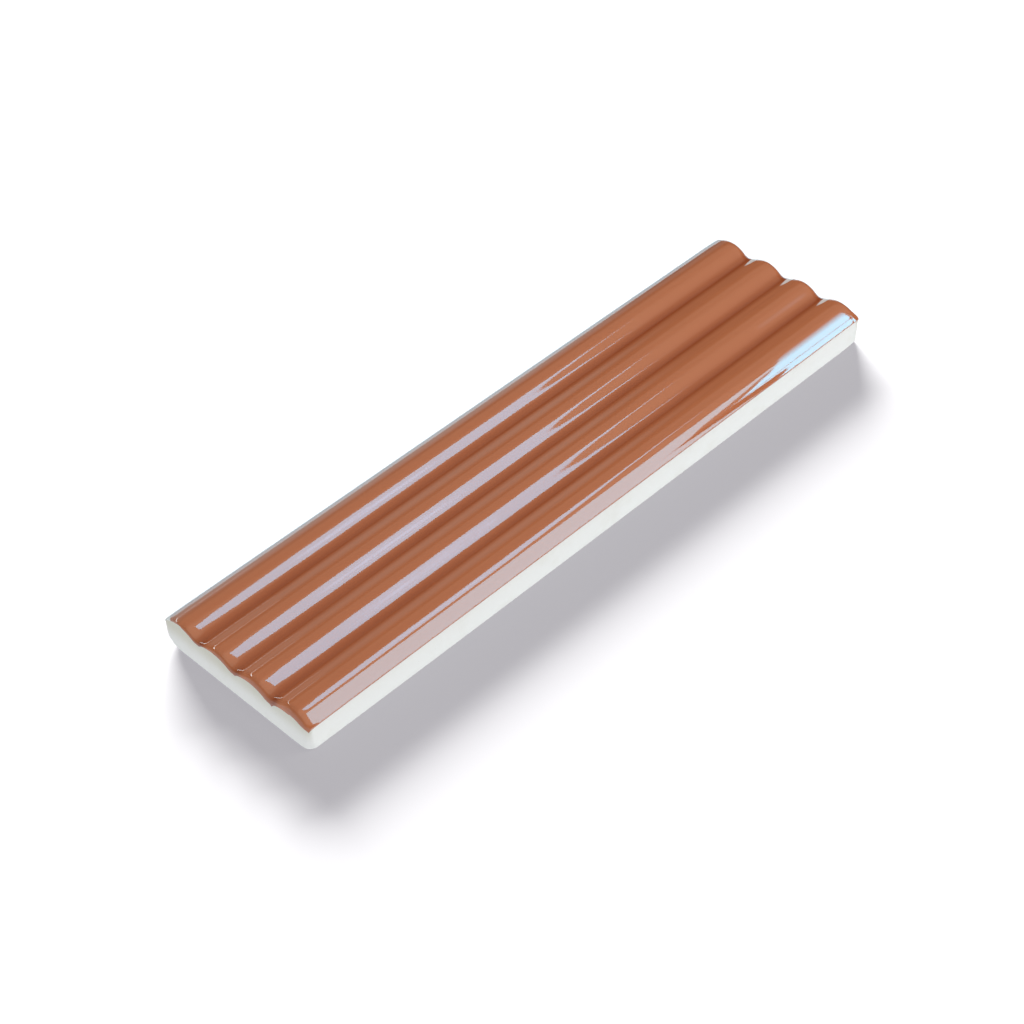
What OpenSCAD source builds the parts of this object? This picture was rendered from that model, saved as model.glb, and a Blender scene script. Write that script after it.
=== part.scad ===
// Reeded subway tile: one pressed and fired ceramic body with a glazed, reeded face.
// Origin: centre of the underside. X runs along the length, Y across the reeds, Z up.

/* [Body] */
// Overall length
tile_l = 200; // [120:1:300]
// Overall width
tile_w = 50; // [40:1:75]
// Overall height, from the underside to the crests of the reeds
tile_h = 11; // [10:0.1:13.5]
// Height of the straight side walls, up to the foot of the outer reeds
wall_h = 8; // [6:0.1:8.8]
// Radius of the four upright corners, seen from above
corner_r = 1.5; // [0.5:0.1:3]
// Radius that eases the bottom edges
bottom_r = 0.8; // [0.3:0.1:1.2]

/* [Reeds] */
// Number of reeds side by side
reed_count = 4; // [3:1:5]
// Depth of the valleys between the reeds, below the crests
valley_depth = 1.4; // [1.1:0.1:2]
// Radius that rounds each reed over at its two ends
reed_end_r = 1.8; // [1:0.1:2.2]

/* [Back] */
// Number of mortar channels pressed into the underside
key_count = 4; // [2:1:5]
// Width of one mortar channel
key_w = 7; // [4:0.5:7.5]
// Depth of the mortar channels
key_depth = 0.6; // [0.3:0.1:1]
// Land left between a channel's end and the end of the tile
key_end_land = 9; // [5:0.5:20]

/* [Colours] */
// Glazed, fired body
body_colour = "#b26e4e";

/* [Hidden] */
$fn = 96;

// The reeds stand side by side and share the width between them.
reed_pitch = tile_w / reed_count;
half_pitch = reed_pitch / 2;

// One reed is an arc through its crest and the tops of the walls, half a pitch to each side.
reed_rise = tile_h - wall_h;
reed_r = (half_pitch * half_pitch + reed_rise * reed_rise) / (2 * reed_rise);
reed_axis_z = tile_h - reed_r;

// The arc that would just touch both neighbouring reeds and the floor of the valley. The valley
// is cut a little rounder than that, so that it crosses the flanks in a clean, shallow edge.
valley_z = tile_h - valley_depth;
valley_rise = valley_z - reed_axis_z;
touching_r = (half_pitch * half_pitch + valley_rise * valley_rise - reed_r * reed_r)
    / (2 * (reed_r - valley_rise));
valley_ease = 1.08;
valley_r = touching_r * valley_ease;

// The clay between the reeds that the valleys are cut from rises to where the valley arc and the
// flank of a reed meet.
valley_axis_rise = valley_rise + valley_r;
fill_z = reed_axis_z + valley_axis_rise * reed_r / (reed_r + valley_r);

// Height of the plain block that carries the reeds, a little under the tops of the walls, and
// the height inside it that the fill starts from
block_under_wall = 0.6;
block_z = wall_h - block_under_wall;
fill_base_z = block_z / 2;

// The mortar channels share the width, with a land between each two.
key_pitch = tile_w / key_count;
key_l = tile_l - 2 * key_end_land;

// How far cutting shapes stand clear of the faces that they cut through
past = 1;

// Rectangle with round corners, centred on the origin
module round_rect(l, w, r) {
    square([l - 2 * r, w], center = true);
    square([l, w - 2 * r], center = true);
    for (sx = [-1, 1], sy = [-1, 1])
        translate([sx * (l / 2 - r), sy * (w / 2 - r)]) circle(r);
}

// Upright section of the given width, standing on zero, with its two bottom corners eased
module eased_section(w, h) {
    translate([-w / 2, bottom_r]) square([w, h - bottom_r]);
    translate([-w / 2 + bottom_r, 0]) square([w - 2 * bottom_r, h]);
    for (s = [-1, 1])
        translate([s * (w / 2 - bottom_r), bottom_r]) circle(bottom_r);
}

// The outer form that everything stays inside: upright walls with round corners, on a bottom
// whose edges are eased all round
module outer_form() {
    intersection() {
        linear_extrude(tile_h) round_rect(tile_l, tile_w, corner_r);
        rotate([90, 0, 0]) linear_extrude(tile_w + 2 * past, center = true) eased_section(tile_l, tile_h);
        rotate([90, 0, 90]) linear_extrude(tile_l + 2 * past, center = true) eased_section(tile_w, tile_h);
    }
}

// The plain block under the reeds, larger all round than the outer form that trims it
module block() {
    translate([-tile_l / 2 - past, -tile_w / 2 - past, -past])
        cube([tile_l + 2 * past, tile_w + 2 * past, block_z + past]);
}

// One reed: a bar turned about its own axis, its two ends rounded over
module reed() {
    translate([0, 0, reed_axis_z])
        rotate([0, 90, 0])
            rotate_extrude()
                intersection() {
                    round_rect(2 * reed_r, tile_l, reed_end_r);
                    translate([0, -tile_l / 2]) square([reed_r, tile_l]);
                }
}

// The clay between the reeds, which the valleys are cut from. It reaches from the middle of the
// first reed to the middle of the last, and slopes down at the ends, where the reeds round over.
module valley_fill() {
    end_x = tile_l / 2;
    slope_x = end_x - reed_end_r;
    rotate([90, 0, 0])
        linear_extrude(tile_w - reed_pitch, center = true)
            polygon([
                [-end_x, fill_base_z], [end_x, fill_base_z],
                [end_x, fill_z - reed_end_r], [slope_x, fill_z],
                [-slope_x, fill_z], [-end_x, fill_z - reed_end_r]
            ]);
}

// The valleys: a round channel along each line where two reeds meet
module valleys() {
    for (i = [1:reed_count - 1])
        translate([0, -tile_w / 2 + i * reed_pitch, reed_axis_z + valley_axis_rise])
            rotate([0, 90, 0]) cylinder(r = valley_r, h = tile_l + 2 * past, center = true);
}

// The mortar channels of the underside: straight, with round ends
module mortar_channels() {
    for (i = [0:key_count - 1])
        translate([0, -tile_w / 2 + (i + 0.5) * key_pitch, -past])
            linear_extrude(key_depth + past) {
                square([key_l - key_w, key_w], center = true);
                for (s = [-1, 1]) translate([s * (key_l - key_w) / 2, 0]) circle(d = key_w);
            }
}

// The whole tile
module tile() {
    color(body_colour)
        difference() {
            intersection() {
                outer_form();
                union() {
                    block();
                    valley_fill();
                    for (i = [0:reed_count - 1])
                        translate([0, -tile_w / 2 + (i + 0.5) * reed_pitch, 0]) reed();
                }
            }
            valleys();
            mortar_channels();
        }
}

tile();
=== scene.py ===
"""Looks of a reeded subway tile: a gloss terracotta glaze over a bare, pressed ceramic body."""

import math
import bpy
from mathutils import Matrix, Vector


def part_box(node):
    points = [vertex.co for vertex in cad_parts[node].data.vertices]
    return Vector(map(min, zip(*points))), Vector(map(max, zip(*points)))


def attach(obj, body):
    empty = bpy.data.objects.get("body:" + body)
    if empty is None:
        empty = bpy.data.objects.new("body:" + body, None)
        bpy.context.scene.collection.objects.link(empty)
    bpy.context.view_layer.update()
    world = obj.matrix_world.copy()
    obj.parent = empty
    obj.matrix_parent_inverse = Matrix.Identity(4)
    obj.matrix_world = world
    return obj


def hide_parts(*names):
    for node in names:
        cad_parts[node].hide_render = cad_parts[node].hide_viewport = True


bl_info = {
    "name": "Reeded subway tile",
    "version": (1, 0, 0),
    "blender": (4, 5, 0),
    "location": "3D View > Sidebar > Tile",
    "description": "Builds a reeded subway tile with its glaze, and a plain studio to show it in",
    "category": "Add Mesh",
}

import bpy
import numpy as np
from mathutils import Matrix, Vector, noise
from mathutils.geometry import delaunay_2d_cdt

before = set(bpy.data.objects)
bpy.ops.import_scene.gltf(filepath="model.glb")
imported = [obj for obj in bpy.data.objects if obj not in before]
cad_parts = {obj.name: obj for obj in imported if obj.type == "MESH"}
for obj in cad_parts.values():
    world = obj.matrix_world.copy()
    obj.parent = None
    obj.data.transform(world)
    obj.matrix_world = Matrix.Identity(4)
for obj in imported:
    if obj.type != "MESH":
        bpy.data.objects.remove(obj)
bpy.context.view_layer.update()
TILE_LO, TILE_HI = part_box("tile")
MM = 0.001


# --- What a user would change ---


def count_property(name, description, default, least):
    """A whole number."""
    return bpy.props.IntProperty(name=name, description=description, default=default, min=least)


def length_property(name, description, default):
    """A length in metres."""
    return bpy.props.FloatProperty(
        name=name,
        description=description,
        default=default,
        unit="LENGTH",
        precision=5,
    )


def angle_property(name, description, degrees):
    """An angle, given in degrees."""
    return bpy.props.FloatProperty(
        name=name,
        description=description,
        default=math.radians(degrees),
        subtype="ANGLE",
    )


def colour_property(name, description, default):
    """A linear colour without alpha."""
    return bpy.props.FloatVectorProperty(
        name=name,
        description=description,
        default=default,
        subtype="COLOR",
        size=3,
        min=0.0,
        soft_max=1.0,
    )


def lengths_property(name, description, default):
    """Two or four lengths in metres, for edges or corners."""
    return bpy.props.FloatVectorProperty(
        name=name,
        description=description,
        default=default,
        size=len(default),
        unit="LENGTH",
        precision=5,
    )


# Four lengths each, for the corners -X -Y, +X -Y, -X +Y and +X +Y
TOP_CORNERS = (1.6 * MM, 0.4 * MM, 0.7 * MM, 0.8 * MM)
FOOT_CORNERS = (2.6 * MM, 0.7 * MM, 4.8 * MM, 2.0 * MM)
CORNER_LIFTS = (0.3 * MM, 0.5 * MM, 1.3 * MM, 1.0 * MM)


class TileSizes(bpy.types.PropertyGroup):
    """Sizes of the tile's visible surfaces, inside the box of the frame."""

    reeds: count_property("Reeds", "Number of reeds side by side", 4, least=2)
    wall: length_property("Wall", "Height of the walls up to the outer reeds", 8.0 * MM)
    valley: length_property("Valley", "Depth of a valley below the crests", 1.5 * MM)
    shift: length_property("Shift", "How far the valleys lie towards -Y", 0.35 * MM)
    sag: length_property("Sag", "How far the face sinks just before its ends", 0.10 * MM)
    sag_length: length_property("Sag length", "Length over which it does", 4.5 * MM)
    roll_length: length_property("Roll length", "Length of the rolled ends", 1.9 * MM)
    roll_depth: length_property("Roll depth", "Height of the rolled ends", 1.5 * MM)
    mouth: length_property("Mouth", "Depth of a valley where it meets an end", 2.1 * MM)
    lean: length_property("Lean", "How unevenly the near end is rolled", 0.75 * MM)
    corners: lengths_property("Corners", "Upright corners' radius at the top", TOP_CORNERS)
    foot_corners: lengths_property("Foot corners", "The same at the underside", FOOT_CORNERS)
    corner_lifts: lengths_property("Corner lifts", "Extra rounding below them", CORNER_LIFTS)
    side_easings: lengths_property(
        "Side easings",
        "Rounding of the long bottom edges, at the near end and at the far end",
        (0.85 * MM, 0.12 * MM),
    )
    end_easings: lengths_property(
        "End easings",
        "Rounding of the short bottom edges, at the -Y side and at the +Y side",
        (0.20 * MM, 1.2 * MM),
    )
    coat: length_property("Coat", "Thickness of the glaze where it ends", 0.12 * MM)
    channels: count_property("Mortar channels", "Channels in the underside", 4, least=1)
    channel_width: length_property("Channel width", "Width of one channel", 7.0 * MM)
    channel_depth: length_property("Channel depth", "Depth of the channels", 0.6 * MM)
    channel_land: length_property("Channel land", "Land left beyond its ends", 9.0 * MM)


class TileColours(bpy.types.PropertyGroup):
    """Colours of the glaze and of the bare body, some of them also standing for painted light and
    shade.
    """

    glaze: colour_property("Glaze", "Glaze on the crests", (0.385, 0.1245, 0.054))
    # The thinner glaze colour also stands for painted light on the flanks that face away from the
    # lamps.
    thin_and_lit: colour_property("Thin", "Thinner glaze on the flanks", (0.485, 0.158, 0.066))
    edge: colour_property("Edge", "Thin glaze along the long edges", (0.62, 0.42, 0.36))
    # The thick glaze colour also stands for painted shade in the valleys and at the flanks' feet.
    pool: colour_property("Pool", "Thick glaze in the valleys", (0.24, 0.045, 0.010))
    bisque: colour_property("Bisque", "Bare body", (0.768, 0.782, 0.770))
    # This colour also stands for painted shade high on the walls, most of all on the ends.
    stain_and_shade: colour_property("Stain", "Bare body where it is stained", (0.615, 0.605, 0.53))


class StudioSettings(bpy.types.PropertyGroup):
    """Camera and light of the plain studio."""

    azimuth: angle_property("Azimuth", "Direction of the view, from +X towards +Y", 44.113)
    elevation: angle_property("Elevation", "How far above the level the camera stands", 44.086)
    roll: angle_property("Roll", "Tilt of the camera about its own axis", -0.401)
    aim: bpy.props.FloatVectorProperty(
        name="Aim",
        description="Point that the middle of the picture shows",
        default=(-15.8 * MM, -7.35 * MM, 5.5 * MM),
        subtype="TRANSLATION",
        unit="LENGTH",
        precision=5,
    )
    distance: length_property("Distance", "From the camera to its aim", 584.0 * MM)
    lens: bpy.props.FloatProperty(
        name="Lens",
        description="Focal length on a sensor 36 mm wide",
        default=83.2,
        unit="CAMERA",
    )
    sky: bpy.props.FloatProperty(
        name="Sky",
        description="Strength of the light that comes from all round",
        default=0.25,
    )
    shade: colour_property("Shade", "Floor in the tile's shadow", (0.387, 0.375, 0.405))
    matt: colour_property("Matt", "Part of it that the shadow lamp whitens", (0.08, 0.08, 0.08))
    bounce: colour_property("Bounce", "Floor as it lights the tile", (1.08, 1.08, 1.10))


# --- Shader nodes written as Python ---


class Value:
    """A number socket. Arithmetic on it adds Math nodes."""

    def __init__(self, web, socket):
        self.web = web
        self.socket = socket

    def maths(self, operation, *others):
        """One Math node of this value and up to two others."""
        inputs = dict(enumerate((self, *others)))
        made = self.web.node("ShaderNodeMath", {"operation": operation}, inputs)
        return Value(self.web, made.outputs[0])

    def reflected(self, operation, first):
        """One Math node with this value in the second place."""
        made = self.web.node("ShaderNodeMath", {"operation": operation}, {0: first, 1: self})
        return Value(self.web, made.outputs[0])

    def __add__(self, other):
        return self.maths("ADD", other)

    __radd__ = __add__

    def __sub__(self, other):
        return self.maths("SUBTRACT", other)

    def __rsub__(self, other):
        return self.reflected("SUBTRACT", other)

    def __mul__(self, other):
        return self.maths("MULTIPLY", other)

    __rmul__ = __mul__

    def __truediv__(self, other):
        return self.maths("DIVIDE", other)

    def __rtruediv__(self, other):
        return self.reflected("DIVIDE", other)

    def __pow__(self, other):
        return self.maths("POWER", other)

    def clipped(self):
        """Kept between 0 and 1."""
        return self.maths("MAXIMUM", 0.0).maths("MINIMUM", 1.0)

    def eased(self, low, high):
        """0 below low, 1 above high, and smooth between them."""
        made = self.web.node(
            "ShaderNodeMapRange",
            {"interpolation_type": "SMOOTHSTEP"},
            {"Value": self, "From Min": low, "From Max": high},
        )
        return Value(self.web, made.outputs[0])


class Web:
    """The nodes of one material or world."""

    def __init__(self, tree):
        tree.nodes.clear()
        self.tree = tree

    def node(self, kind, settings=None, inputs=None):
        """A node with its settings made first, then its sockets' values or links."""
        made = self.tree.nodes.new(kind)
        for name, value in (settings or {}).items():
            setattr(made, name, value)
        for name, value in (inputs or {}).items():
            self.feed(made.inputs[name], value)
        return made

    def feed(self, socket, value):
        """Links a value, a socket or a node's first output, or sets a plain number or colour."""
        if isinstance(value, Value):
            value = value.socket
        if isinstance(value, bpy.types.Node):
            value = value.outputs[0]
        if isinstance(value, bpy.types.NodeSocket):
            self.tree.links.new(value, socket)
        elif isinstance(value, (int, float)):
            socket.default_value = value
        elif len(value) < len(socket.default_value):
            socket.default_value = (*value, 1.0)
        else:
            socket.default_value = tuple(value)

    def value(self, socket):
        """A socket, ready for arithmetic."""
        return Value(self, socket)

    def place(self):
        """The place on the piece, in millimetres, as a vector and as three numbers."""
        coordinates = self.node("ShaderNodeTexCoord").outputs["Object"]
        inputs = {0: coordinates, "Scale": 1.0 / MM}
        scaled = self.node("ShaderNodeVectorMath", {"operation": "SCALE"}, inputs)
        split = self.node("ShaderNodeSeparateXYZ", None, {0: scaled})
        return scaled.outputs[0], [self.value(s) for s in split.outputs]

    def noise(self, vector, size, detail=2.0, roughness=0.5, along=1.0):
        """Smooth noise from 0 to 1 in lumps of about the given size, drawn out where along < 1."""
        if along != 1.0:
            inputs = {0: vector, 1: (along, 1.0, 1.0)}
            vector = self.node("ShaderNodeVectorMath", {"operation": "MULTIPLY"}, inputs)
        made = self.node(
            "ShaderNodeTexNoise",
            None,
            {"Vector": vector, "Scale": 1.0 / size, "Detail": detail, "Roughness": roughness},
        )
        return self.value(made.outputs[0])

    def from_spot(self, vector, size):
        """Distance from the nearest of many scattered spots, about one to a cell of the size."""
        inputs = {"Vector": vector, "Scale": 1.0 / size}
        made = self.node("ShaderNodeTexVoronoi", {"feature": "F1"}, inputs)
        return self.value(made.outputs["Distance"]) * size

    def mix(self, factor, first, second):
        """A colour between two colours."""
        made = self.node("ShaderNodeMix", {"data_type": "RGBA"})
        self.feed(made.inputs[0], factor)
        self.feed(made.inputs[6], first)
        self.feed(made.inputs[7], second)
        return made.outputs[2]

    def bump(self, height, distance, strength=1.0):
        """A bumped normal, from a height between 0 and 1 and the distance that it stands for."""
        inputs = {"Height": height, "Distance": distance, "Strength": strength}
        return self.node("ShaderNodeBump", None, inputs).outputs[0]

    def surface(self, shader, kind="ShaderNodeOutputMaterial"):
        """Sends a shader to the output."""
        self.node(kind, None, {"Surface": shader})


def new_material(name):
    """An empty material and its web of nodes."""
    made = bpy.data.materials.new(name)
    made.use_nodes = True
    return made, Web(made.node_tree)


# --- Meshes ---


class Shell:
    """A mesh under construction: points, faces, and a flat map of the faces for baking."""

    def __init__(self):
        self.points = []
        self.count = 0
        self.faces = []
        self.maps = []

    def add_points(self, points):
        """Adds an array of points and returns their numbers in the same arrangement."""
        flat = np.asarray(points, float).reshape(-1, 3)
        numbers = np.arange(self.count, self.count + len(flat)).reshape(np.shape(points)[:-1])
        self.points.append(flat)
        self.count += len(flat)
        return numbers

    def quilt(self, numbers, flat_map, flip=False):
        """Faces between the rows and columns of a grid of points, with their places on the map."""
        here = slice(None, -1)
        next_one = slice(1, None)
        corners = [(here, here), (next_one, here), (next_one, next_one), (here, next_one)]
        if flip:
            corners = corners[::-1]
        quads = np.stack([numbers[c] for c in corners], -1).reshape(-1, 4)
        places = np.stack([flat_map[c] for c in corners], -2).reshape(-1, 4, 2)
        self.faces.extend(quads.tolist())
        self.maps.extend(places.reshape(-1, 2).tolist())

    def add_faces(self, faces, places):
        """Single faces, with the place on the map of each of their corners."""
        for face, place in zip(faces, places):
            self.faces.append([int(n) for n in face])
            self.maps.extend([float(p[0]), float(p[1])] for p in place)

    def piece(self, name, material, crease):
        """The finished piece, riding on the tile's only body."""
        mesh = bpy.data.meshes.new(name)
        mesh.from_pydata(np.concatenate(self.points).tolist(), [], self.faces)
        layer = mesh.uv_layers.new(name="OFBake")
        layer.data.foreach_set("uv", np.asarray(self.maps, np.float32).ravel())
        if mesh.validate():
            raise RuntimeError(f"{name} has broken faces")
        mesh.shade_smooth()
        mesh.set_sharp_from_angle(angle=crease)
        mesh.materials.append(material)
        made = bpy.data.objects.new(name, mesh)
        bpy.context.scene.collection.objects.link(made)
        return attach(made, "root")


def lumps(place, size, seed):
    """Smooth unevenness between -1 and 1 at one place, with lumps of about the given size."""
    return noise.noise(Vector((place[0] / size + seed, place[1] / size - seed, place[2] / size)))


def smooth_step(value, low, high):
    """0 below low, 1 above high, and smooth between them, for arrays."""
    t = np.clip((value - low) / (high - low), 0.0, 1.0)
    return t * t * (3.0 - 2.0 * t)


class Form:
    """The finished surface of the tile as a grid of points, which both pieces are made from."""

    # Steps of the grid, and the usual and the least distance between its lines
    ROLL_STEPS = 12
    SAG_STEPS = 16
    REED_STEPS = 16
    EDGE_STEPS = 5
    COLUMN = 1.3 * MM
    CLEAR = 0.1 * MM
    # Rounding of the long top edges, and how the rolled ends run out towards them
    EDGE_RADIUS = 0.5 * MM
    SIDE_FADE = 3.0 * MM
    CORNER_ROLL = 0.25 * MM
    # Reach of the bottom edge's corner rounding, and how late the corners widen to the foot
    CORNER_REACH = 5.0 * MM
    FOOT_POWER = 4.5
    # Mouths of the valleys: shift towards +Y, share of their depth, and how they are let down
    NEAR_MOUTH_SHIFT = 1.0 * MM
    NEAR_MOUTH_SHARE = 0.75
    NEAR_MOUTH_DROP = 0.25 * MM
    FAR_MOUTH_SHIFT = 0.6 * MM
    FAR_MOUTH_SHARE = 1.1
    MOUTH_REACH = 0.7
    # Slight hollows of the face, which fade out towards its edges
    HOLLOW = 0.012 * MM
    HOLLOW_SIZE = 14 * MM
    CALM = 4 * MM
    # Lower edge of the glaze: size of its waves and ripples, and its drips below the valleys
    WAVE = 22 * MM
    RIPPLE = 3.5 * MM
    LONG_DRIP = 0.65 * MM
    SHORT_DRIP = 0.25 * MM
    DRIP_WIDTH = 0.45 * MM
    # Distance within which a point counts as being on the rim
    TOUCH = 1e-9

    def __init__(self, sizes):
        self.sizes = sizes
        self.half_length = (TILE_HI.x - TILE_LO.x) / 2
        self.half_width = (TILE_HI.y - TILE_LO.y) / 2
        self.crest = TILE_HI.z
        self.pitch = 2 * self.half_width / sizes.reeds
        self.half_pitch = self.pitch / 2
        self.outer = self.half_width - self.half_pitch
        rise = self.crest - sizes.wall
        self.radius = (self.half_pitch**2 + rise**2) / (2 * rise)
        self.lines_x = self.make_lines_x()
        self.lines_y = self.make_lines_y()
        self.make_surface()

    def make_lines_x(self):
        """Grid lines along the length, closer together towards the ends."""
        sizes = self.sizes
        turn = np.linspace(0.0, math.pi / 2, self.ROLL_STEPS + 1)
        roll = self.half_length - sizes.roll_length * (1.0 - np.sin(turn))
        flat_end = self.half_length - sizes.roll_length
        sag = np.linspace(flat_end - sizes.sag_length, flat_end, self.SAG_STEPS + 1)
        middle_end = sag[0]
        steps = 2 * math.ceil(middle_end / self.COLUMN)
        middle = np.linspace(-middle_end, middle_end, steps + 1)
        end = np.concatenate([sag[1:], roll[1:]])
        return np.concatenate([-end[::-1], middle, end])

    def make_lines_y(self):
        """Grid lines across the reeds, closer together over the rounding of the long edges."""
        steps = self.sizes.reeds * 2 * self.REED_STEPS
        lines = np.linspace(-self.half_width, self.half_width, steps + 1)[1:-1]
        turn = np.linspace(self.edge_slope(), math.pi / 2, self.EDGE_STEPS + 1)
        edge = self.half_width - self.EDGE_RADIUS * (1.0 - np.sin(turn))
        lines = lines[np.abs(lines) < edge[0] - self.CLEAR]
        return np.concatenate([-edge[::-1], lines, edge])

    def edge_slope(self):
        """Slope of the outer reed's flank where the rounding of the long edge begins."""
        reach = (self.half_pitch - self.EDGE_RADIUS) / (self.radius - self.EDGE_RADIUS)
        return math.asin(reach)

    def across(self, y):
        """Height of the face across the reeds, without the ends."""
        past_crest = (y + self.outer) % self.pitch
        valley = self.half_pitch - self.sizes.shift
        to_valley = (self.pitch - past_crest) / (self.pitch - valley)
        turn = math.pi * np.where(past_crest < valley, past_crest / valley, to_valley)
        inner = self.crest - (1 - np.cos(turn)) * self.sizes.valley / 2
        reach = np.clip(np.abs(y) - self.outer, 0.0, self.half_pitch)
        arc = self.crest - self.radius + np.sqrt(self.radius**2 - reach**2)
        start = self.half_pitch - self.EDGE_RADIUS * (1.0 - math.sin(self.edge_slope()))
        start_z = self.crest - self.radius + math.sqrt(self.radius**2 - start**2)
        centre_z = start_z - self.EDGE_RADIUS * math.cos(self.edge_slope())
        out = np.clip(reach - (self.half_pitch - self.EDGE_RADIUS), 0.0, self.EDGE_RADIUS)
        rounding = centre_z + np.sqrt(self.EDGE_RADIUS**2 - out**2)
        flank = np.where(reach > start, rounding, arc)
        return np.where(np.abs(y) < self.outer, inner, flank)

    def mouths(self, y):
        """Depth below the crests of the outline that the ends show, with its tight valleys."""
        depth = self.sizes.mouth
        reach = np.abs((np.abs(y) - self.outer) % self.pitch)
        reach = np.minimum(reach, self.pitch - reach)
        both = (self.half_pitch**2 + depth**2) / (2 * depth)
        tight = both - self.radius
        meet = self.radius * self.half_pitch / both
        crest = self.radius - np.sqrt(self.radius**2 - reach**2)
        over = np.clip(self.half_pitch - reach, 0.0, tight)
        valley = depth - tight + np.sqrt(tight**2 - over**2)
        return np.where(reach < meet, crest, valley)

    def rim_height(self, x, y):
        """Height at which the face meets the walls at the two ends."""
        between = np.abs(y) < self.outer
        rolled = self.crest - self.sizes.roll_depth
        to_side = smooth_step(np.abs(y), self.half_width - self.SIDE_FADE, self.half_width)
        depth = self.sizes.roll_depth * (1 - to_side) + self.CORNER_ROLL * to_side
        beyond = self.across(y) - depth
        lean = self.sizes.lean * (y / self.outer) * (1 - to_side * (y > 0))
        near = rolled - self.mouths(y - self.NEAR_MOUTH_SHIFT) * self.NEAR_MOUTH_SHARE
        near = np.where(between, near - self.NEAR_MOUTH_DROP, beyond) + lean
        far = rolled - self.mouths(y - self.FAR_MOUTH_SHIFT) * self.FAR_MOUTH_SHARE
        far = np.where(between, far, beyond)
        return np.where(x < 0, near, far)

    def roll_reach(self, y):
        """Length of the rolled ends across the reeds: longer at the mouths of the valleys."""
        mouth = self.mouths(y - self.FAR_MOUTH_SHIFT) / self.sizes.mouth
        mouth = np.where(np.abs(y) < self.outer, mouth, 0.0)
        return self.sizes.roll_length * (1 + self.MOUTH_REACH * mouth**2)

    def end_drop(self, x, y):
        """How far the face has come down towards the two ends."""
        sizes = self.sizes
        flat_end = self.half_length - sizes.roll_length
        into_sag = np.clip((np.abs(x) - flat_end) / sizes.sag_length + 1.0, 0.0, 1.0)
        sag = sizes.sag * into_sag**2
        past_end = np.abs(x) - self.half_length
        into_roll = np.clip(past_end / self.roll_reach(y) + 1.0, 0.0, 1.0)
        depth = self.across(y) - sag - self.rim_height(x, y)
        return sag + depth * (1.0 - np.sqrt(1.0 - into_roll**2))

    def make_surface(self):
        """Points and outward directions of the finished face, from one wall to the other."""
        x, y = np.meshgrid(self.lines_x, self.lines_y, indexing="ij")
        z = self.across(y) - self.end_drop(x, y)
        plan = zip(x.ravel(), y.ravel())
        sunk = np.reshape([lumps((a, b, 0.0), self.HOLLOW_SIZE, 3.7) for a, b in plan], x.shape)
        calm = smooth_step(self.half_length - np.abs(x), 0.0, self.CALM)
        calm = calm * smooth_step(self.half_width - np.abs(y), 0.0, self.CALM)
        z = z - self.HOLLOW * (1 + sunk) * calm
        radius = self.by_corner(x, y, self.sizes.corners)
        plan_x, plan_y = self.rounded(x, y, radius)
        self.face = np.stack([plan_x, plan_y, z], -1)
        along = np.gradient(self.face, axis=0)
        over = np.gradient(self.face, axis=1)
        out = np.cross(along, over)
        out /= np.linalg.norm(out, axis=-1, keepdims=True)
        self.rim = rim = self.rim_numbers(x.shape)
        flat = out.reshape(-1, 3)
        self.rim_x = x.ravel()[rim]
        self.rim_y = y.ravel()[rim]
        self.rim_z = z.ravel()[rim]
        flat[rim] = self.rim_directions(radius.ravel()[rim])
        self.out = flat.reshape(out.shape)

    def by_corner(self, x, y, four):
        """For each place, the one of four values that belongs to its corner of the tile."""
        return np.asarray(four)[(x > 0) * 1 + (y > 0) * 2]

    def rounded(self, x, y, radius):
        """Places on the plan with the corners of the rectangle pressed into arcs."""
        a = np.clip((np.abs(x) - (self.half_length - radius)) / radius, 0.0, None)
        b = np.clip((np.abs(y) - (self.half_width - radius)) / radius, 0.0, None)
        both = (a > 0) & (b > 0)
        in_x = self.half_length - radius + radius * a * np.sqrt(1 - np.minimum(b, 1) ** 2 / 2)
        in_y = self.half_width - radius + radius * b * np.sqrt(1 - np.minimum(a, 1) ** 2 / 2)
        new_x = np.where(both, np.sign(x) * in_x, x)
        new_y = np.where(both, np.sign(y) * in_y, y)
        return new_x, new_y

    def rim_numbers(self, shape):
        """Numbers of the points round the rim, in order, starting and ending at one corner."""
        n, m = shape
        grid = np.arange(n * m).reshape(n, m)
        near = grid[:, 0]
        far_end = grid[-1, 1:]
        back = grid[-2::-1, -1]
        near_end = grid[0, -2::-1]
        return np.concatenate([near, far_end, back, near_end])

    def rim_directions(self, radius):
        """Level outward directions of the rim, for the corners' radius at each of its points."""
        x, y = self.rim_x, self.rim_y
        plan_x, plan_y = self.rounded(x, y, radius)
        a = np.clip(np.abs(plan_x) - (self.half_length - radius), 0.0, None)
        b = np.clip(np.abs(plan_y) - (self.half_width - radius), 0.0, None)
        on_end = np.abs(x) >= self.half_length - self.TOUCH
        on_side = np.abs(y) >= self.half_width - self.TOUCH
        straight_end = on_end & (b <= 0)
        straight_side = on_side & (a <= 0)
        a = np.where(straight_side, 0.0, np.where(straight_end, 1.0, a))
        b = np.where(straight_side, 1.0, np.where(straight_end, 0.0, b))
        out = np.stack([np.sign(x) * a, np.sign(y) * b, np.zeros_like(a)], -1)
        return out / np.linalg.norm(out, axis=-1, keepdims=True)

    def radius_at(self, z):
        """Radius of the upright corners at a height for each point of the rim."""
        top = self.by_corner(self.rim_x, self.rim_y, self.sizes.corners)
        foot = self.by_corner(self.rim_x, self.rim_y, self.sizes.foot_corners)
        return top + (foot - top) * np.clip(1 - z / self.rim_z, 0.0, 1.0) ** self.FOOT_POWER

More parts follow.
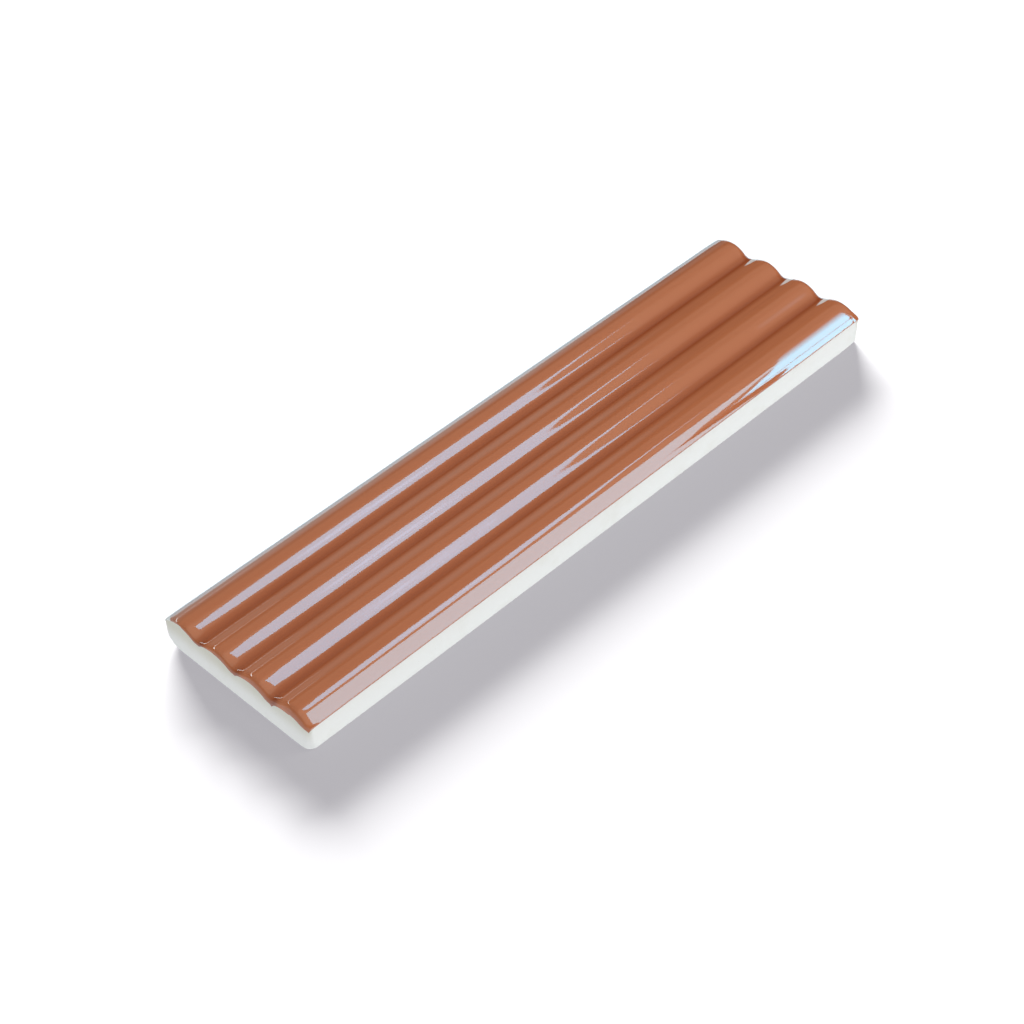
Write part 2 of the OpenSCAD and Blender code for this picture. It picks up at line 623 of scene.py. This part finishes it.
    def easing(self):
        """Size of the rounding of the bottom edge at each point of the rim."""
        sizes = self.sizes
        along = (self.rim_x + self.half_length) / (2 * self.half_length)
        over = (self.rim_y + self.half_width) / (2 * self.half_width)
        near_end, far_end = sizes.side_easings
        near_side, far_side = sizes.end_easings
        side = far_end + (near_end - far_end) * (1 - along) ** 4
        end = near_side + (far_side - near_side) * over
        from_end = np.clip(self.half_length - np.abs(self.rim_x), 0.0, self.CORNER_REACH)
        from_side = np.clip(self.half_width - np.abs(self.rim_y), 0.0, self.CORNER_REACH)
        on_end = 0.5 + 0.5 * (from_side - from_end) / self.CORNER_REACH
        cornered = 1 - smooth_step(np.maximum(from_end, from_side), 0.0, self.CORNER_REACH)
        lift = self.by_corner(self.rim_x, self.rim_y, sizes.corner_lifts)
        return side + (end - side) * on_end + lift * cornered

    def loop(self, inset, z):
        """A closed loop of points round the walls, at a height for each point."""
        radius = self.radius_at(z)
        plan_x, plan_y = self.rounded(self.rim_x, self.rim_y, radius)
        out = self.rim_directions(radius)
        points = np.stack([plan_x, plan_y, np.broadcast_to(z, plan_x.shape)], -1)
        return points - out * np.broadcast_to(inset, plan_x.shape)[..., None]

    def glaze_line(self):
        """Height at which the glaze ends on the walls, all the way round."""
        heights = []
        for x, y, z in zip(self.rim_x, self.rim_y, self.rim_z):
            wave = 0.5 + 0.5 * lumps((x, y, 0.0), self.WAVE, 8.1)
            ripple = 0.5 + 0.5 * lumps((x, y, 0.0), self.RIPPLE, 2.9)
            run = (0.02 + 0.10 * wave + 0.04 * ripple) * MM
            if abs(x) >= self.half_length - self.TOUCH:
                run = 2 * run + self.drips(x, y)
            heights.append(z - run)
        return np.array(heights)

    def drips(self, x, y):
        """Extra length of the glaze below the mouths of the valleys."""
        run = 0.0
        for i in range(1, self.sizes.reeds):
            valley = -self.half_width + i * self.pitch
            length = self.LONG_DRIP if i == 1 and x < 0 else self.SHORT_DRIP
            run += length * math.exp(-(((y - valley) / self.DRIP_WIDTH) ** 2))
        return run


def strip_maps(form, rows, levels):
    """Places on the map for the four walls, each a strip of its own, for a number of rows."""
    n = len(form.lines_x)
    m = len(form.lines_y)
    sides = [(0, n), (n - 1, m), (n + m - 2, n), (2 * n + m - 3, m)]
    made = []
    for (start, length), (left, right, low, high) in zip(sides, levels):
        u = np.linspace(left, right, length)
        v = np.linspace(low, high, rows)
        made.append((start, length, np.stack(np.meshgrid(u, v, indexing="ij"), -1)))
    return made


def add_walls(shell, form, loops, levels):
    """Faces of the walls between loops of points, given as rows of numbers from the top down."""
    rows = np.stack([np.append(row, row[0]) for row in loops], -1)
    for start, length, flat_map in strip_maps(form, len(loops), levels):
        shell.quilt(rows[start : start + length], flat_map, flip=True)


def face_map(form, left, right, low, high):
    """Places on the map for the grid of the face."""
    u = left + (right - left) * (form.lines_x + form.half_length) / (2 * form.half_length)
    v = low + (high - low) * (form.lines_y + form.half_width) / (2 * form.half_width)
    return np.stack(np.meshgrid(u, v, indexing="ij"), -1)


# Left, right, low and high side on the flat map of each wall, in the order of the rim
GLAZE_LEVELS = [
    (0.01, 0.99, 0.36, 0.40),
    (0.01, 0.26, 0.48, 0.52),
    (0.01, 0.99, 0.42, 0.46),
    (0.30, 0.55, 0.48, 0.52),
]
BODY_LEVELS = [
    (0.01, 0.99, 0.40, 0.47),
    (0.01, 0.26, 0.58, 0.65),
    (0.01, 0.99, 0.49, 0.56),
    (0.30, 0.55, 0.58, 0.65),
]


# Rows of faces: down the skirt of the glaze, down the walls, and round the bottom edge
SKIRT_STEPS = 3
WALL_STEPS = 10
FOOT_STEPS = 6


def build_glaze(form, material):
    """The coat of glaze: the reeded face, its rolled ends, and the skirt that ends in a lip."""
    coat = form.sizes.coat
    line = form.glaze_line()
    shell = Shell()
    face = shell.add_points(form.face)
    shell.quilt(face, face_map(form, 0.01, 0.99, 0.01, 0.33))
    rim = face.ravel()[form.rim][:-1]
    lip = coat / 2
    rows = [rim]
    for part in np.linspace(0.0, 1.0, SKIRT_STEPS + 1)[1:]:
        z = form.rim_z + (line + lip - form.rim_z) * part
        rows.append(shell.add_points(form.loop(0.0, z)[:-1]))
    for turn in np.radians((35.0, 70.0, 110.0, 145.0, 180.0)):
        z = line + lip - lip * math.sin(turn)
        inset = lip * (1.0 - math.cos(turn))
        rows.append(shell.add_points(form.loop(inset, z)[:-1]))
    rows.append(shell.add_points(form.loop(2 * coat, line + 2 * coat)[:-1]))
    # The inner side lies inside the body, so that no gap shows at the lip.
    under = shell.add_points(form.face - form.out * 2.4 * coat)
    rows.append(under.ravel()[form.rim][:-1])
    add_walls(shell, form, rows, GLAZE_LEVELS)
    shell.quilt(under, face_map(form, 0.60, 0.98, 0.60, 0.70), flip=True)
    return shell.piece("tile_glaze", material, crease=math.radians(50.0))


def stadium(centre_y, half_span, radius, z, steps=14):
    """Outline of a channel: two straight sides and two round ends."""
    points = []
    for side in (1, -1):
        for i in range(steps + 1):
            angle = math.pi / 2 - math.pi * i / steps
            x = side * (half_span + radius * math.cos(angle))
            y = centre_y + side * radius * math.sin(angle)
            points.append((x, y, z))
    return points


def build_body(form, material):
    """The bare body: the reeded top under the glaze, the walls, and the underside."""
    sizes = form.sizes
    shell = Shell()
    top = shell.add_points(form.face - form.out * sizes.coat)
    shell.quilt(top, face_map(form, 0.60, 0.98, 0.58, 0.66))
    rows = [top.ravel()[form.rim][:-1]]
    easing = form.easing()
    foot = form.by_corner(form.rim_x, form.rim_y, sizes.foot_corners)
    # The rounding goes in less far than it goes up where it would pass a corner's centre.
    inwards = np.minimum(easing, 0.75 * foot)
    for part in np.linspace(0.0, 1.0, WALL_STEPS + 1)[1:]:
        z = form.rim_z * (1 - part) + easing * part
        rows.append(shell.add_points(uneven(form, sizes.coat, z)[:-1]))
    for turn in np.linspace(0.0, math.pi / 2, FOOT_STEPS + 1)[1:]:
        z = easing * (1.0 - np.sin(turn))
        inset = sizes.coat + inwards * (1.0 - np.cos(turn))
        rows.append(shell.add_points(uneven(form, inset, z)[:-1]))
    add_walls(shell, form, rows, BODY_LEVELS)
    build_underside(shell, form, rows[-1])
    return shell.piece("tile_body", material, crease=math.radians(40.0))


def uneven(form, inset, z):
    """A loop of the walls with the slight unevenness of pressed clay, always inwards."""
    loop = form.loop(inset, z)
    slow = np.array([lumps(p, 9 * MM, 5.3) for p in loop])
    fine = np.array([lumps(p, 1.6 * MM, 1.1) for p in loop])
    depth = 0.02 * MM * (1 + slow) + 0.006 * MM * (1 + fine)
    depth[-1] = depth[0]
    return loop - form.rim_directions(form.radius_at(z)) * depth[:, None]


def build_underside(shell, form, rim):
    """The flat underside with its mortar channels."""
    sizes = form.sizes
    depth = sizes.channel_depth
    radius = sizes.channel_width / 2
    span = form.half_length - sizes.channel_land - radius
    pitch = 2 * form.half_width / sizes.channels
    centre_lines = [-form.half_width + (i + 0.5) * pitch for i in range(sizes.channels)]
    levels = [(0.0, 0.0), (0.10 * MM, 0.08 * MM), (0.22 * MM, 0.85 * depth), (0.32 * MM, depth)]
    rings = []
    for y in centre_lines:
        rings.append([shell.add_points(stadium(y, span, radius - t, z)) for t, z in levels])
    points = np.concatenate(shell.points)
    numbers, edges = [], []
    for outline in (rim, *(ring[0] for ring in rings)):
        first = len(numbers)
        count = len(outline)
        numbers.extend(outline)
        edges.extend((first + i, first + (i + 1) % count) for i in range(count))
    flat = [tuple(points[n][:2]) for n in numbers]
    outer = flat[: len(rim)]
    # The cut is made in millimetres, well above the smallest step that it tells apart.
    scale = 1.0 / MM
    made = delaunay_2d_cdt([Vector(p) * scale for p in flat], edges, [], 0, 1e-7)
    corners, triangles, origins = made[0], made[2], made[3]
    if len(corners) != len(flat):
        raise RuntimeError("the underside was cut into more points than it has")
    faces = []
    for triangle in triangles:
        middle = sum((corners[i] for i in triangle), Vector((0, 0))) / 3 / scale
        if inside(middle, outer) and not in_channel(middle, centre_lines, span, radius):
            faces.append([numbers[origins[i][0]] for i in triangle][::-1])
    for ring in rings:
        for upper, lower in zip(ring, ring[1:]):
            faces.extend(zip(upper, np.roll(upper, -1), np.roll(lower, -1), lower))
        roof = ring[-1][::-1]
        for i in range(len(roof) // 2 - 1):
            strip = (roof[i], roof[i + 1], roof[-2 - i], roof[-1 - i])
            faces.append(list(dict.fromkeys(strip)))
    places = [[underside_place(form, points[n]) for n in face] for face in faces]
    shell.add_faces(faces, places)


def underside_place(form, point):
    """Place on the map of a point of the underside."""
    u = 0.01 + 0.98 * (point[0] + form.half_length) / (2 * form.half_length)
    v = 0.68 + 0.30 * (point[1] + form.half_width) / (2 * form.half_width)
    return u, v


def in_channel(point, centre_lines, span, radius):
    """Whether a point of the underside lies in a mortar channel."""
    over = max(abs(point[0]) - span, 0.0)
    return any(math.hypot(over, point[1] - y) < radius for y in centre_lines)


def inside(point, outline):
    """Whether a point lies inside a closed outline."""
    crossings = 0
    for (ax, ay), (bx, by) in zip(outline, outline[1:] + outline[:1]):
        if (ay > point[1]) != (by > point[1]):
            crossings += point[0] < (bx - ax) * (point[1] - ay) / (by - ay) + ax
    return crossings % 2 == 1


# --- Finishes ---


def glaze_material(form, colours):
    """Gloss terracotta glaze: deep and red where it lies thick, streaked where it runs thinner,
    with some painted light, shade and reflections in its colour.
    """
    material, web = new_material("terracotta glaze")
    place, (x, y, z) = web.place()
    half_length = form.half_length / MM
    half_width = form.half_width / MM
    outer = form.outer / MM
    wall = form.sizes.wall / MM
    between = 1 - y.maths("ABSOLUTE").eased(outer, outer + 1.5)
    around = 2 * math.pi * MM / form.pitch

    def band(middle):
        """1 along a line this far to the +Y side of each valley, and 0 half a pitch away."""
        return (((y - middle) * around).maths("COSINE") * 0.5 + 0.5) * between

    valley = band(-0.65)
    foot = band(0.95)
    flank = band(-3.3)
    streaks = web.noise(place, 2.2, 3.0, along=0.08)
    clouds = web.noise(place, 9.0, 2.0, along=0.4)
    brushed = web.noise(place, 0.8, 2.0, along=0.03)
    # Thinner glaze is brushed along the flank that faces +Y, and its paler colour there is also
    # painted light on this flank, which faces away from the lamps. Thick glaze together with
    # painted shade darkens the valleys and the other flank's foot.
    thin_and_lit = (flank ** 3.0) * (0.35 + 0.4 * clouds + 0.9 * brushed)
    pooled_and_shaded = (valley ** 12.0) * (0.55 + 0.13 * x.eased(0.0, 75.0) + 0.4 * streaks)
    # Painted shade, as well as thick glaze, at the foot of each flank that faces -Y, deep in the
    # valley
    pooled_and_shaded = pooled_and_shaded + (foot ** 16.0) * (0.15 + 0.3 * streaks)
    colour = web.mix(thin_and_lit.clipped(), colours.glaze, colours.thin_and_lit)
    colour = web.mix(pooled_and_shaded.clipped(), colour, colours.pool)
    # Pale glaze: where it ends on the long walls, and along the outermost flank on the +Y side
    low = 1 - z.eased(wall - 0.3, wall + 0.1)
    edge = low * y.maths("ABSOLUTE").eased(half_width - 0.3, half_width - 0.05)
    rim = y.eased(outer + 0.75, outer + 2.25) * (1 - 0.5 * x.eased(30.0, 80.0))
    rim = rim * (0.7 + 0.6 * clouds)
    colour = web.mix((edge * 0.7).maths("MAXIMUM", rim * 0.3), colour, colours.edge)
    grain = web.noise(place, 0.6, 3.0, 0.6)
    colour = web.mix(0.06 * grain, colour, colours.thin_and_lit)
    # Painted reflections: small pale triangles where the valleys meet the +X end, in the colour of
    # the bare body
    into_end = ((x - (half_length - 6.0)) / 4.5).clipped()
    mouth = ((y + 2.1) * around).maths("COSINE") - 1.0 + 0.10 * into_end
    colour = web.mix(mouth.eased(0.0, 0.04) * between * 0.75, colour, colours.bisque)
    # A few pits, and slow waves in the gloss
    pit = 1 - web.from_spot(place, 9.0).eased(0.012, 0.025)
    colour = web.mix(pit * 0.5, colour, colours.edge)
    slow = web.noise(place, 6.0, 1.0, along=0.5)
    normal = web.bump(slow, 0.02 * MM)
    # One bare corner, with a ragged edge
    ragged = 0.8 * web.noise(place, 0.9, 2.0)
    from_corner = (x + half_length) + (half_width - y) * 0.8 + ragged
    bare = 1 - from_corner.eased(2.2, 2.7)
    colour = web.mix(bare, colour, colours.bisque)
    shader = web.node(
        "ShaderNodeBsdfPrincipled",
        None,
        {
            "Base Color": colour,
            "Roughness": 0.03 + 0.02 * clouds + 0.5 * bare,
            "IOR": 1.5,
            "Normal": normal,
        },
    )
    web.surface(shader)
    return material


def bisque_material(form, colours):
    """Bare pressed and fired body: matt, pale, with fine grain, a few faint stained patches, and
    painted shade high on the walls.
    """
    material, web = new_material("bare bisque")
    place, (x, _, z) = web.place()
    clouds = web.noise(place, 7.0, 3.0)
    grain = web.noise(place, 0.35, 4.0, 0.65)
    half_length = form.half_length / MM
    wall = form.sizes.wall / MM
    # Faint random stained clouds, and painted shade that darkens the walls towards the glaze, most
    # of all on the ends; its tan colour there is partly a glaze overspray.
    on_end = x.maths("ABSOLUTE").eased(half_length - 1.5, half_length - 0.4)
    upper = z.eased(wall - 5.5, wall + 0.5)
    stains_and_shade = clouds.eased(0.50, 0.75) * 0.2 + upper * (0.15 + 0.85 * on_end)
    colour = web.mix(stains_and_shade, colours.bisque, colours.stain_and_shade)
    colour = web.mix(0.10 * grain, colour, (0.62, 0.63, 0.60))
    speck = 1 - web.from_spot(place, 2.6).eased(0.05, 0.16)
    colour = web.mix(speck * 0.25, colour, (0.35, 0.33, 0.28))
    normal = web.bump(grain, 0.05 * MM, 0.5)
    shader = web.node(
        "ShaderNodeBsdfPrincipled",
        None,
        {
            "Base Color": colour,
            "Roughness": 0.72 + 0.12 * clouds,
            "IOR": 1.45,
            "Specular IOR Level": 0.3,
            "Normal": normal,
        },
    )
    web.surface(shader)
    return material


# --- Studio ---

# Tints and strength of what the glaze mirrors
SKY_TINT = (0.70, 1.0, 1.0)
FLOOR_TINT = (0.66, 1.0, 1.14)
CEILING_TINT = (1.0, 0.9, 0.72)
CEILING_BOX_TINT = (0.28, 0.72, 1.0)
CEILING_BOX_STRENGTH = 11.0
WINDOW_TINT = (0.18, 0.74, 1.02)
WINDOW_STRENGTH = 21.0
# Rise of a direction at which the ceiling begins
CEILING_RISE = 0.62


def add_camera(studio):
    """The camera, from the direction that it looks in."""
    level = math.cos(studio.elevation)
    x = level * math.cos(studio.azimuth)
    y = level * math.sin(studio.azimuth)
    ahead = Vector((x, y, -math.sin(studio.elevation)))
    data = bpy.data.cameras.new("camera")
    data.lens = studio.lens
    data.sensor_width = 36.0
    data.clip_start = 0.01
    data.clip_end = 20.0
    camera = bpy.data.objects.new("camera", data)
    turned = ahead.to_track_quat("-Z", "Y").to_matrix() @ Matrix.Rotation(studio.roll, 3, "Z")
    stand = Matrix.Translation(Vector(studio.aim) - ahead * studio.distance)
    camera.matrix_world = stand @ turned.to_4x4()
    bpy.context.scene.collection.objects.link(camera)
    bpy.context.scene.camera = camera


def add_floor(studio):
    """A pale floor with the tile's shadow on it, a hair below the tile and clear from beneath."""
    material, web = new_material("floor")
    path = web.node("ShaderNodeLightPath")
    seen = path.outputs["Is Camera Ray"]
    gloss = path.outputs["Is Glossy Ray"]
    place = web.node("ShaderNodeTexCoord").outputs["Object"]
    y = web.value(web.node("ShaderNodeSeparateXYZ", None, {0: place}).outputs[1])
    matt = web.node("ShaderNodeBsdfDiffuse", None, {"Color": tuple(studio.matt)})
    shade = web.node("ShaderNodeEmission", None, {"Color": tuple(studio.shade)})
    pale = web.node("ShaderNodeAddShader", None, {0: matt, 1: shade})
    bounce = web.node("ShaderNodeEmission", None, {"Color": tuple(studio.bounce)})
    glow = 1.0 + 0.85 * y.eased(0.03, 0.10)
    mirrored = web.node("ShaderNodeEmission", None, {"Color": FLOOR_TINT, "Strength": glow})
    other = web.node("ShaderNodeMixShader", None, {0: gloss, 1: bounce, 2: mirrored})
    beneath = web.node("ShaderNodeNewGeometry").outputs["Backfacing"]
    clear = web.node("ShaderNodeBsdfTransparent")
    pale = web.node("ShaderNodeMixShader", None, {0: beneath, 1: pale, 2: clear})
    web.surface(web.node("ShaderNodeMixShader", None, {0: seen, 1: other, 2: pale}))
    material.cycles.emission_sampling = "NONE"
    mesh = bpy.data.meshes.new("floor")
    reach = 3.0
    low = -0.02 * MM
    square = ((-reach, -reach), (reach, -reach), (reach, reach), (-reach, reach))
    mesh.from_pydata([(x, y, low) for x, y in square], [], [(0, 1, 2, 3)])
    mesh.materials.append(material)
    floor = bpy.data.objects.new("floor", mesh)
    bpy.context.scene.collection.objects.link(floor)
    return floor


def add_sky(studio):
    """Even light from all round, which also whitens the background."""
    world = bpy.data.worlds.new("sky")
    bpy.context.scene.world = world
    world.use_nodes = True
    web = Web(world.node_tree)
    path = web.node("ShaderNodeLightPath")
    seen = web.value(path.outputs["Is Camera Ray"])
    gloss = web.value(path.outputs["Is Glossy Ray"])
    towards = web.node("ShaderNodeTexCoord").outputs["Generated"]
    split = web.node("ShaderNodeSeparateXYZ", None, {0: towards})
    x, y, rise = [web.value(socket) for socket in split.outputs]
    glow = 0.72 * ((1.0 - rise / CEILING_RISE).clipped() ** 1.2)
    behind = (y - 1.32 * x).eased(-0.02, 0.10)
    high = rise.eased(0.5, CEILING_RISE)
    over = high * (1.0 - y.eased(0.05, 0.20)) * (1.0 - 0.6 * x.eased(0.55, 0.62))
    ceiling = 0.6 * (0.1 + 0.9 * high) + 0.8 * over
    mirrored = (glow * (0.1 + 0.9 * behind)).maths("MAXIMUM", ceiling)
    strength = studio.sky + seen * (1.0 - studio.sky) + gloss * (mirrored - studio.sky)
    warmth = rise.eased(0.2, 0.5)
    colour = web.mix(gloss, (1.0, 1.0, 1.0), web.mix(warmth, SKY_TINT, CEILING_TINT))
    shader = web.node("ShaderNodeBackground", None, {"Color": colour, "Strength": strength})
    web.surface(shader, "ShaderNodeOutputWorld")


def add_lamp(name, towards, distance, wide, tall, power):
    """A soft lamp that lights the tile from one direction and isn't mirrored in the glaze."""
    data = bpy.data.lights.new(name, "AREA")
    data.shape = "RECTANGLE"
    data.size = wide
    data.size_y = tall
    data.energy = power
    lamp = bpy.data.objects.new(name, data)
    towards = Vector(towards).normalized()
    turned = towards.to_track_quat("Z", "Y").to_matrix().to_4x4()
    lamp.matrix_world = Matrix.Translation(towards * distance) @ turned
    lamp.visible_glossy = False
    lamp.visible_camera = False
    bpy.context.scene.collection.objects.link(lamp)
    return lamp


def add_panel(name, rows, colour, strength, fade=None):
    """A glowing softbox that is only mirrored in the glaze, between rows of two points each.

    It may fade in down its rows: from one share of them to another, with a power.
    """
    material, web = new_material(name)
    shader = web.node("ShaderNodeEmission", None, {"Color": colour, "Strength": strength})
    if fade:
        start, end, power = fade
        place = web.node("ShaderNodeTexCoord").outputs["UV"]
        down = web.value(web.node("ShaderNodeSeparateXYZ", None, {0: place}).outputs[1])
        shown = ((down - start) / (end - start)).clipped() ** power
        clear = web.node("ShaderNodeBsdfTransparent")
        shader = web.node("ShaderNodeMixShader", None, {0: shown, 1: clear, 2: shader})
    web.surface(shader)
    mesh = bpy.data.meshes.new(name)
    last = len(rows) - 1
    faces = [(2 * i, 2 * i + 1, 2 * i + 3, 2 * i + 2) for i in range(last)]
    mesh.from_pydata([point for row in rows for point in row], [], faces)
    places = [(n % 2, (n // 2) / last) for face in faces for n in face]
    mesh.uv_layers.new(name="UVMap").data.foreach_set("uv", np.ravel(places))
    mesh.materials.append(material)
    panel = bpy.data.objects.new(name, mesh)
    panel.visible_camera = False
    panel.visible_diffuse = False
    panel.visible_shadow = False
    bpy.context.scene.collection.objects.link(panel)


def add_lights(studio, floor):
    """The lamps and the softboxes."""
    add_lamp("top_lamp", (0.0, -0.35, 0.94), distance=1.5, wide=0.9, tall=0.9, power=10.0)
    window = add_lamp("window_lamp", (0.55, -0.45, 0.60), 0.93, wide=0.4, tall=0.4, power=4.4)
    window.data.color = (1.0, 0.97, 0.93)
    add_lamp("fill_lamp", (-0.90, -0.25, 0.35), distance=1.5, wide=1.2, tall=0.6, power=4.8)
    towards = (0.55, 0.85, 0.335)
    shade = add_lamp("shadow_lamp", towards, distance=12.0, wide=6.5, tall=3.0, power=40000.0)
    lit = bpy.data.collections.new("lit_by_shadow_lamp")
    lit.objects.link(floor)
    shade.light_linking.receiver_collection = lit
    spans = (
        (0.088, 0.38, 0.703),
        (0.06, 0.32, 0.655),
        (0.03, 0.285, 0.622),
        (0.01, 0.21, 0.607),
        (-0.01, 0.205, 0.596),
        (-0.05, 0.225, 0.577),
        (-0.10, 0.24, 0.545),
        (-0.167, 0.26, 0.50),
    )
    rows = [((left, y, 0.90), (right, y, 0.90)) for y, left, right in spans]
    add_panel("ceiling_box", rows, CEILING_BOX_TINT, CEILING_BOX_STRENGTH)
    reaches = ((0.36, 0.001), (0.40, 0.004), (0.45, 0.004), (0.50, 0.001))
    for number, middle in enumerate((0.003, -0.026, -0.054)):
        rows = [((x, middle + half, 0.89), (x, middle - half, 0.89)) for x, half in reaches]
        add_panel(f"ceiling_tube_{number}", rows, (0.40, 0.85, 1.20), 12.5)
    add_panel(
        "side_box",
        [
            ((0.20, -0.275, 0.86), (0.61, -0.215, 0.65)),
            ((0.20, -0.36, 0.80), (0.59, -0.29, 0.63)),
            ((0.19, -0.535, 0.68), (0.54, -0.44, 0.555)),
            ((0.20, -0.67, 0.565), (0.50, -0.54, 0.45)),
            ((0.28, -0.87, 0.39), (0.60, -0.675, 0.305)),
            ((0.30, -0.97, 0.15), (0.63, -0.75, 0.11)),
        ],
        (0.40, 0.88, 1.08),
        9.2,
    )
    add_panel(
        "window",
        [
            ((0.635, -0.02, 0.71), (0.68, -0.02, 0.65)),
            ((0.605, -0.12, 0.68), (0.66, -0.11, 0.61)),
            ((0.57, -0.28, 0.60), (0.63, -0.255, 0.53)),
            ((0.53, -0.475, 0.465), (0.63, -0.43, 0.405)),
        ],
        WINDOW_TINT,
        WINDOW_STRENGTH,
        fade=(0.0, 0.70, 1.6),
    )
    add_panel(
        "window_pane",
        [
            ((0.53, -0.485, 0.455), (0.63, -0.44, 0.395)),
            ((0.585, -0.54, 0.40), (0.645, -0.49, 0.345)),
            ((0.605, -0.65, 0.295), (0.66, -0.59, 0.25)),
            ((0.635, -0.74, 0.12), (0.68, -0.66, 0.08)),
        ],
        WINDOW_TINT,
        WINDOW_STRENGTH,
    )
    add_panel(
        "strip_box",
        [
            ((0.29, 0.75, 0.245), (0.29, 0.76, 0.275)),
            ((0.12, 0.77, 0.325), (0.12, 0.785, 0.365)),
            ((-0.14, 0.77, 0.435), (-0.14, 0.79, 0.495)),
            ((-0.40, 0.68, 0.49), (-0.40, 0.70, 0.56)),
        ],
        (0.8, 0.95, 1.0),
        14.0,
        fade=(-0.5, 0.8, 2.0),
    )


# --- Operators and panel ---


class TILE_OT_body(bpy.types.Operator):
    """Build the bare body of the tile"""

    bl_idname = "tile.body"
    bl_label = "Body"

    def execute(self, context):
        form = Form(context.scene.tile_sizes)
        material = bisque_material(form, context.scene.tile_colours)
        body = build_body(form, material)
        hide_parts("tile")
        return {"FINISHED"}


class TILE_OT_glaze(bpy.types.Operator):
    """Build the coat of glaze on the tile"""

    bl_idname = "tile.glaze"
    bl_label = "Glaze"

    def execute(self, context):
        form = Form(context.scene.tile_sizes)
        material = glaze_material(form, context.scene.tile_colours)
        glaze = build_glaze(form, material)
        return {"FINISHED"}


class TILE_OT_studio(bpy.types.Operator):
    """Set up the floor, the light and the camera"""

    bl_idname = "tile.studio"
    bl_label = "Studio"

    def execute(self, context):
        studio = context.scene.tile_studio
        add_camera(studio)
        floor = add_floor(studio)
        add_sky(studio)
        add_lights(studio, floor)
        context.scene.view_settings.view_transform = "Standard"
        return {"FINISHED"}


class TILE_PT_panel(bpy.types.Panel):
    """Sizes, colours and buttons of the tile"""

    bl_idname = "TILE_PT_panel"
    bl_label = "Reeded subway tile"
    bl_space_type = "VIEW_3D"
    bl_region_type = "UI"
    bl_category = "Tile"

    def draw(self, context):
        layout = self.layout
        scene = context.scene
        for group in (scene.tile_sizes, scene.tile_colours, scene.tile_studio):
            box = layout.box()
            for name in group.__annotations__:
                box.prop(group, name)
        for operator in (TILE_OT_body, TILE_OT_glaze, TILE_OT_studio):
            layout.operator(operator.bl_idname)


CLASSES = (
    TileSizes,
    TileColours,
    StudioSettings,
    TILE_OT_body,
    TILE_OT_glaze,
    TILE_OT_studio,
    TILE_PT_panel,
)


def register():
    """Registers the classes and hangs their settings on the scene."""
    for kind in CLASSES:
        bpy.utils.register_class(kind)
    bpy.types.Scene.tile_sizes = bpy.props.PointerProperty(type=TileSizes)
    bpy.types.Scene.tile_colours = bpy.props.PointerProperty(type=TileColours)
    bpy.types.Scene.tile_studio = bpy.props.PointerProperty(type=StudioSettings)


def unregister():
    """Undoes what register does."""
    del bpy.types.Scene.tile_studio
    del bpy.types.Scene.tile_colours
    del bpy.types.Scene.tile_sizes
    for kind in reversed(CLASSES):
        bpy.utils.unregister_class(kind)


def main():
    """Builds everything in order."""
    register()
    bpy.ops.tile.body()
    bpy.ops.tile.glaze()
    bpy.ops.tile.studio()


if __name__ == "__main__":
    main()
